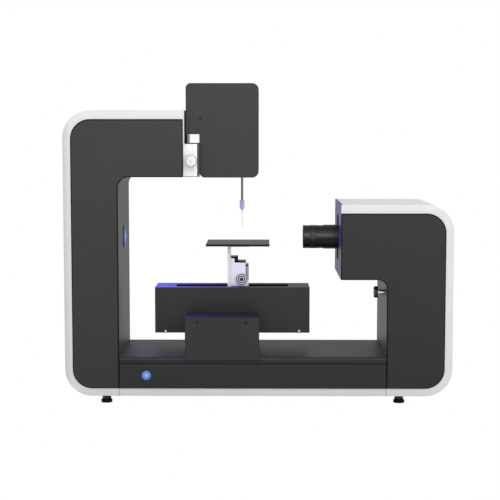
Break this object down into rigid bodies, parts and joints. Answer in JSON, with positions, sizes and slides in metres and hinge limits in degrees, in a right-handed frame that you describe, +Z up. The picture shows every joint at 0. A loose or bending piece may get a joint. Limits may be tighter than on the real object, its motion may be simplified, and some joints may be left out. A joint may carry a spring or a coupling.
{
  "type": "optical contact angle tensiometer",
  "caption": "Bench drop-shape analyser: a lit column with a dosing head on its arm, a camera column and a three-axis sample stage on one base.",
  "frame": {"origin": "centre of the footprint, on the bench under the feet", "axes": "+X towards the camera column (right, seen from the front), +Y from the front to the rear, +Z up"},
  "size_m": [0.7, 0.207, 0.5799],
  "materials": {
    "white_shell": "satin",
    "dark_panel": "satin",
    "dark_liner": "satin",
    "black_plastic": "matt",
    "steel": "brushed",
    "aluminium": "satin anodised",
    "black_metal": "black anodised",
    "blue_lens": "translucent",
    "button_blue": "lit",
    "glass": "coated",
    "hub_plastic": "gloss",
    "board": "solder mask",
    "brass": "turned",
    "clear_glass": "clear"
  },
  "bodies": {
    "housing": {"left_shell": "white_shell", "left_front_panel": "dark_panel", "left_rear_panel": "dark_panel", "left_liner": "dark_liner", "base_shell": "white_shell", "base_front_panel": "dark_panel", "base_rear_panel": "dark_panel", "base_top_plate": "dark_liner", "right_shell": "white_shell", "right_front_panel": "dark_panel", "right_rear_panel": "dark_panel", "right_liner": "dark_liner", "lens_face_plate": "dark_liner", "backlight_bezel": "black_plastic", "backlight_window": "blue_lens", "backlight_lamp": "aluminium", "button_bezel": "black_plastic", "power_inlet": "black_plastic", "data_port": "steel", "power_supply": "steel", "control_board": "board", "camera_post": "aluminium", "head_stage_base": "aluminium", "head_mount_plate": "black_metal", "y_guide": "steel", "pedestal_cover": "dark_panel"},
    "lens_unit": {"camera_carriage": "aluminium", "camera_body": "black_metal", "lens_barrel": "black_metal", "lens_glass": "glass"},
    "focus": {"focus_ring": "black_metal"},
    "camera_knob": {"camera_knob": "black_metal"},
    "button": {"power_button": "button_blue"},
    "foot_fl": {"foot_front_left": "black_plastic"},
    "foot_fr": {"foot_front_right": "black_plastic"},
    "foot_rl": {"foot_rear_left": "black_plastic"},
    "foot_rr": {"foot_rear_right": "black_plastic"},
    "head": {"head_stage_slide": "aluminium", "head_cover": "dark_panel", "head_frame": "aluminium", "dosing_motor": "black_metal", "syringe_barrel": "clear_glass", "outlet_tube": "steel", "needle_hub": "hub_plastic", "needle": "steel"},
    "head_knob": {"head_knob": "aluminium"},
    "dosing_screw": {"dosing_screw": "steel"},
    "pusher": {"pusher_block": "brass", "syringe_plunger": "steel"},
    "y_stage": {"y_saddle": "aluminium", "x_base": "aluminium", "x_cover": "dark_panel", "x_motor": "black_metal"},
    "y_screw": {"y_screw": "steel"},
    "x_stage": {"x_carriage": "aluminium", "z_stage_base": "aluminium"},
    "x_screw": {"x_screw": "steel"},
    "z_stage": {"z_slide": "aluminium", "sample_plate": "black_metal"},
    "z_knob": {"z_knob": "black_metal"}
  },
  "joints": [
    {"name": "foot_fl_height", "type": "slide", "parent": "housing", "child": "foot_fl", "axis": [0, 0, 1], "range_m": [-0.004, 0.004]},
    {"name": "foot_fr_height", "type": "slide", "parent": "housing", "child": "foot_fr", "axis": [0, 0, 1], "range_m": [-0.004, 0.004]},
    {"name": "foot_rl_height", "type": "slide", "parent": "housing", "child": "foot_rl", "axis": [0, 0, 1], "range_m": [-0.004, 0.004]},
    {"name": "foot_rr_height", "type": "slide", "parent": "housing", "child": "foot_rr", "axis": [0, 0, 1], "range_m": [-0.004, 0.004]},
    {"name": "button_press", "type": "slide", "parent": "housing", "child": "button", "axis": [0, 1, 0], "range_m": [0, 0.0015], "stiffness_N_per_m": 1500},
    {"name": "camera_height", "type": "slide", "parent": "housing", "child": "lens_unit", "axis": [0, 0, 1], "range_m": [-0.012, 0.012]},
    {"name": "camera_knob_turn", "type": "hinge", "parent": "housing", "child": "camera_knob", "pos_m": [0.24, -0.062, 0.2015], "axis": [1, 0, 0], "range_deg": [-120, 120]},
    {"name": "focus_turn", "type": "hinge", "parent": "lens_unit", "child": "focus", "pos_m": [0.101, 0.008, 0.297], "axis": [1, 0, 0], "range_deg": [-150, 150]},
    {"name": "head_height", "type": "slide", "parent": "housing", "child": "head", "axis": [0, 0, 1], "range_m": [-0.014, 0.02]},
    {"name": "head_knob_turn", "type": "hinge", "parent": "housing", "child": "head_knob", "pos_m": [-0.121, -0.062, 0.4405], "axis": [0, -1, 0], "range_deg": [-260, 260]},
    {"name": "dosing_stroke", "type": "slide", "parent": "head", "child": "pusher", "axis": [0, 0, 1], "range_m": [-0.045, 0.008]},
    {"name": "dosing_screw_turn", "type": "hinge", "parent": "head", "child": "dosing_screw", "pos_m": [-0.075, 0.008, 0.5], "axis": [0, 0, 1], "continuous": true},
    {"name": "stage_y", "type": "slide", "parent": "housing", "child": "y_stage", "axis": [0, 1, 0], "range_m": [-0.011, 0.04]},
    {"name": "y_screw_turn", "type": "hinge", "parent": "housing", "child": "y_screw", "pos_m": [-0.066, 0, 0.091], "axis": [0, 1, 0], "continuous": true},
    {"name": "stage_x", "type": "slide", "parent": "y_stage", "child": "x_stage", "axis": [1, 0, 0], "range_m": [-0.085, 0.048]},
    {"name": "x_screw_turn", "type": "hinge", "parent": "y_stage", "child": "x_screw", "pos_m": [-0.071, 0.008, 0.1445], "axis": [1, 0, 0], "continuous": true},
    {"name": "stage_z", "type": "slide", "parent": "x_stage", "child": "z_stage", "axis": [0, 0, 1], "range_m": [-0.012, 0.01]},
    {"name": "z_knob_turn", "type": "hinge", "parent": "x_stage", "child": "z_knob", "pos_m": [-0.0317, -0.016, 0.2199], "axis": [0, 1, 0], "range_deg": [-160, 160]}
  ],
  "couplings": [
    {"joint": "camera_knob_turn", "follows": "camera_height", "rad_per_m": 134.26},
    {"joint": "head_knob_turn", "follows": "head_height", "rad_per_m": 201.38},
    {"joint": "dosing_screw_turn", "follows": "dosing_stroke", "rad_per_m": 3141.6},
    {"joint": "y_screw_turn", "follows": "stage_y", "rad_per_m": 1256.6},
    {"joint": "x_screw_turn", "follows": "stage_x", "rad_per_m": 1256.6},
    {"joint": "z_knob_turn", "follows": "stage_z", "rad_per_m": 201.38}
  ]
}
